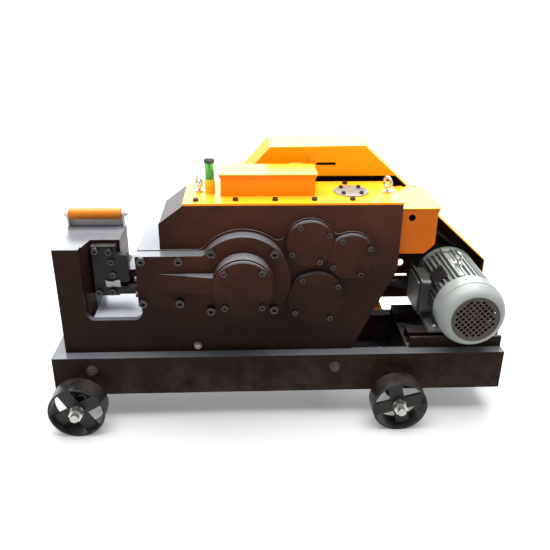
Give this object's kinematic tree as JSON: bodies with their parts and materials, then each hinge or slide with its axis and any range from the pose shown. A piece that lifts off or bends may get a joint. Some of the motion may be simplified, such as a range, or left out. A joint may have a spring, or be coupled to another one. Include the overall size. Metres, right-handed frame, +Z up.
{
  "type": "rebar cutter",
  "caption": "Wheeled rebar cutter: a belt-driven enclosed gear train turns a crank that pushes a ram blade past a fixed blade in an open jaw.",
  "frame": {"origin": "centre of the footprint of the whole machine, on the ground plane", "axes": "+X from the cutting head towards the motor, +Y from the front (shaft caps) to the belt guard, +Z up"},
  "size_m": [1.3584, 0.523, 0.784],
  "materials": {
    "frame_paint": "dark brown-charcoal gloss paint",
    "wheel_paint": "black paint, scuffed",
    "zinc": "zinc plated",
    "bare_steel": "bare turned steel",
    "black_screws": "black oxide",
    "orange_paint": "orange gloss paint",
    "grey_plate": "grey satin",
    "brass": "satin",
    "green_glass": "clear green",
    "grey_cap": "matt",
    "blade_steel": "ground tool steel",
    "gear_steel": "machined and oiled",
    "cast_black": "black painted cast iron",
    "belt_rubber": "matt rubber",
    "motor_paint": "silver-grey hammer paint",
    "shaft_steel": "turned steel"
  },
  "bodies": {
    "machine": {"side_rails": "frame_paint", "cross_members": "frame_paint", "axle_brackets": "frame_paint", "axles": "bare_steel", "wheel_nuts": "zinc", "frame_bolts": "zinc", "front_plate": "frame_paint", "rear_plate": "frame_paint", "head_column": "frame_paint", "jaw_block": "frame_paint", "head_foot": "frame_paint", "bar_rest": "frame_paint", "ram_guides": "frame_paint", "gearbox_walls": "frame_paint", "slide_cover": "frame_paint", "shaft_caps": "frame_paint", "cover_bolts": "black_screws", "drain_plug": "zinc", "top_cover": "orange_paint", "inspection_box": "orange_paint", "round_cover": "grey_plate", "eyebolts": "zinc", "oil_cup_base": "brass", "oil_cup_glass": "green_glass", "oil_cup_cap": "grey_cap", "blade_holder": "frame_paint", "fixed_blade": "blade_steel", "blade_screws": "black_screws", "bearings": "gear_steel", "v_belts": "belt_rubber", "motor_frame": "motor_paint", "fan_cowl": "motor_paint", "terminal_cover": "motor_paint", "nameplate": "zinc", "motor_mount": "frame_paint", "belt_guard": "orange_paint", "guard_panel": "orange_paint", "electric_box": "orange_paint", "handle_bracket": "bare_steel"},
    "input_drive": {"input_shaft": "gear_steel", "flywheel": "cast_black"},
    "second_drive": {"second_shaft": "gear_steel", "second_gear": "gear_steel"},
    "third_drive": {"third_shaft": "gear_steel", "third_gear": "gear_steel"},
    "crank_drive": {"crankshaft": "gear_steel", "crank_gear": "gear_steel"},
    "motor_rotor": {"motor_shaft": "shaft_steel", "motor_pulley": "cast_black"},
    "ram_block": {"ram": "gear_steel", "moving_blade": "blade_steel", "wrist_pin": "bare_steel"},
    "rod": {"connecting_rod": "gear_steel"},
    "wheel_fl": {"wheel_front_left": "wheel_paint"},
    "wheel_fr": {"wheel_front_right": "wheel_paint"},
    "wheel_rl": {"wheel_rear_left": "wheel_paint"},
    "wheel_rr": {"wheel_rear_right": "wheel_paint"},
    "inspection_hatch": {"inspection_lid": "orange_paint"},
    "electric_hatch": {"electric_box_lid": "orange_paint"},
    "grip": {"handle_grip": "orange_paint"}
  },
  "joints": [
    {"name": "input_spin", "type": "hinge", "parent": "machine", "child": "input_drive", "pos_m": [0.19589, 0.1715, 0.52708], "axis": [0, 1, 0], "continuous": true},
    {"name": "second_spin", "type": "hinge", "parent": "machine", "child": "second_drive", "pos_m": [0.07858, -0.0535, 0.56725], "axis": [0, 1, 0], "continuous": true},
    {"name": "third_spin", "type": "hinge", "parent": "machine", "child": "third_drive", "pos_m": [0.10163, 0.0065, 0.3963], "axis": [0, 1, 0], "continuous": true},
    {"name": "crank_spin", "type": "hinge", "parent": "machine", "child": "crank_drive", "pos_m": [-0.1083, 0.0065, 0.4685], "axis": [0, 1, 0], "continuous": true},
    {"name": "motor_spin", "type": "hinge", "parent": "machine", "child": "motor_rotor", "pos_m": [0.5552, 0.1465, 0.353], "axis": [0, 1, 0], "continuous": true},
    {"name": "ram_slide", "type": "slide", "parent": "machine", "child": "ram_block", "axis": [1, 0, 0], "range_m": [-0.034, 0]},
    {"name": "rod_swing", "type": "hinge", "parent": "ram_block", "child": "rod", "pos_m": [-0.2688, -0.0515, 0.4685], "axis": [0, 1, 0], "range_deg": [-5.5, 5.5]},
    {"name": "wheel_fl_spin", "type": "hinge", "parent": "machine", "child": "wheel_fl", "pos_m": [-0.5972, -0.203, 0.082], "axis": [0, 1, 0], "continuous": true},
    {"name": "wheel_fr_spin", "type": "hinge", "parent": "machine", "child": "wheel_fr", "pos_m": [0.3532, -0.203, 0.082], "axis": [0, 1, 0], "continuous": true},
    {"name": "wheel_rl_spin", "type": "hinge", "parent": "machine", "child": "wheel_rl", "pos_m": [-0.5972, 0.1795, 0.082], "axis": [0, 1, 0], "continuous": true},
    {"name": "wheel_rr_spin", "type": "hinge", "parent": "machine", "child": "wheel_rr", "pos_m": [0.3532, 0.1795, 0.082], "axis": [0, 1, 0], "continuous": true},
    {"name": "inspection_hinge", "type": "hinge", "parent": "machine", "child": "inspection_hatch", "pos_m": [-0.0363, 0.059, 0.7415], "axis": [-1, 0, 0], "range_deg": [0, 100]},
    {"name": "electric_hinge", "type": "hinge", "parent": "machine", "child": "electric_hatch", "pos_m": [0.3872, 0.1027, 0.657], "axis": [-1, 0, 0], "range_deg": [0, 80]},
    {"name": "grip_spin", "type": "hinge", "parent": "machine", "child": "grip", "pos_m": [-0.5508, 0.0745, 0.588], "axis": [1, 0, 0], "continuous": true}
  ],
  "couplings": [
    {"joint": "second_spin", "follows": "input_spin", "ratio": -0.34783},
    {"joint": "third_spin", "follows": "input_spin", "ratio": 0.11371},
    {"joint": "crank_spin", "follows": "input_spin", "ratio": -0.03655},
    {"joint": "motor_spin", "follows": "input_spin", "ratio": 1.9326}
  ]
}
